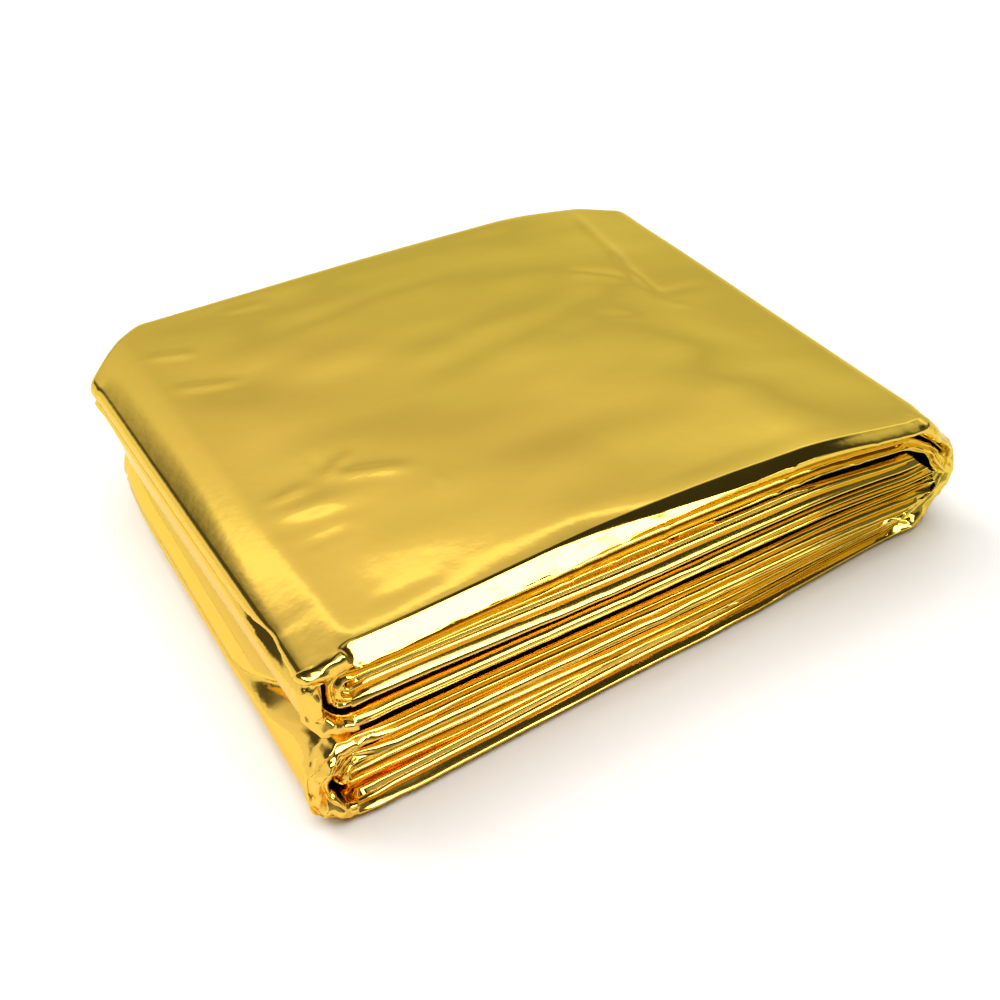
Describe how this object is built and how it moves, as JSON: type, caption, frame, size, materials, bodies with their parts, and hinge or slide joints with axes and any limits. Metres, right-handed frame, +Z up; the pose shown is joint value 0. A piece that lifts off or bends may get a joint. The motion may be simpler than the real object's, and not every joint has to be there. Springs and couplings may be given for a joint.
{
  "type": "emergency foil blanket",
  "caption": "Thin gold metallised film sheet, pleated and folded over into a flat packet with its fold edges along the front.",
  "frame": {"origin": "middle of the packet's bounding box, on the surface it lies on", "axes": "+X along the packet towards its spine, +Y from the fold edges at the front to the free edges at the back, +Z up through the layers"},
  "size_m": [0.1264, 0.103, 0.0295],
  "materials": {
    "gold_film": "gloss"
  },
  "bodies": {
    "root": {"foil_sheet": "gold_film"}
  },
  "joints": []
}
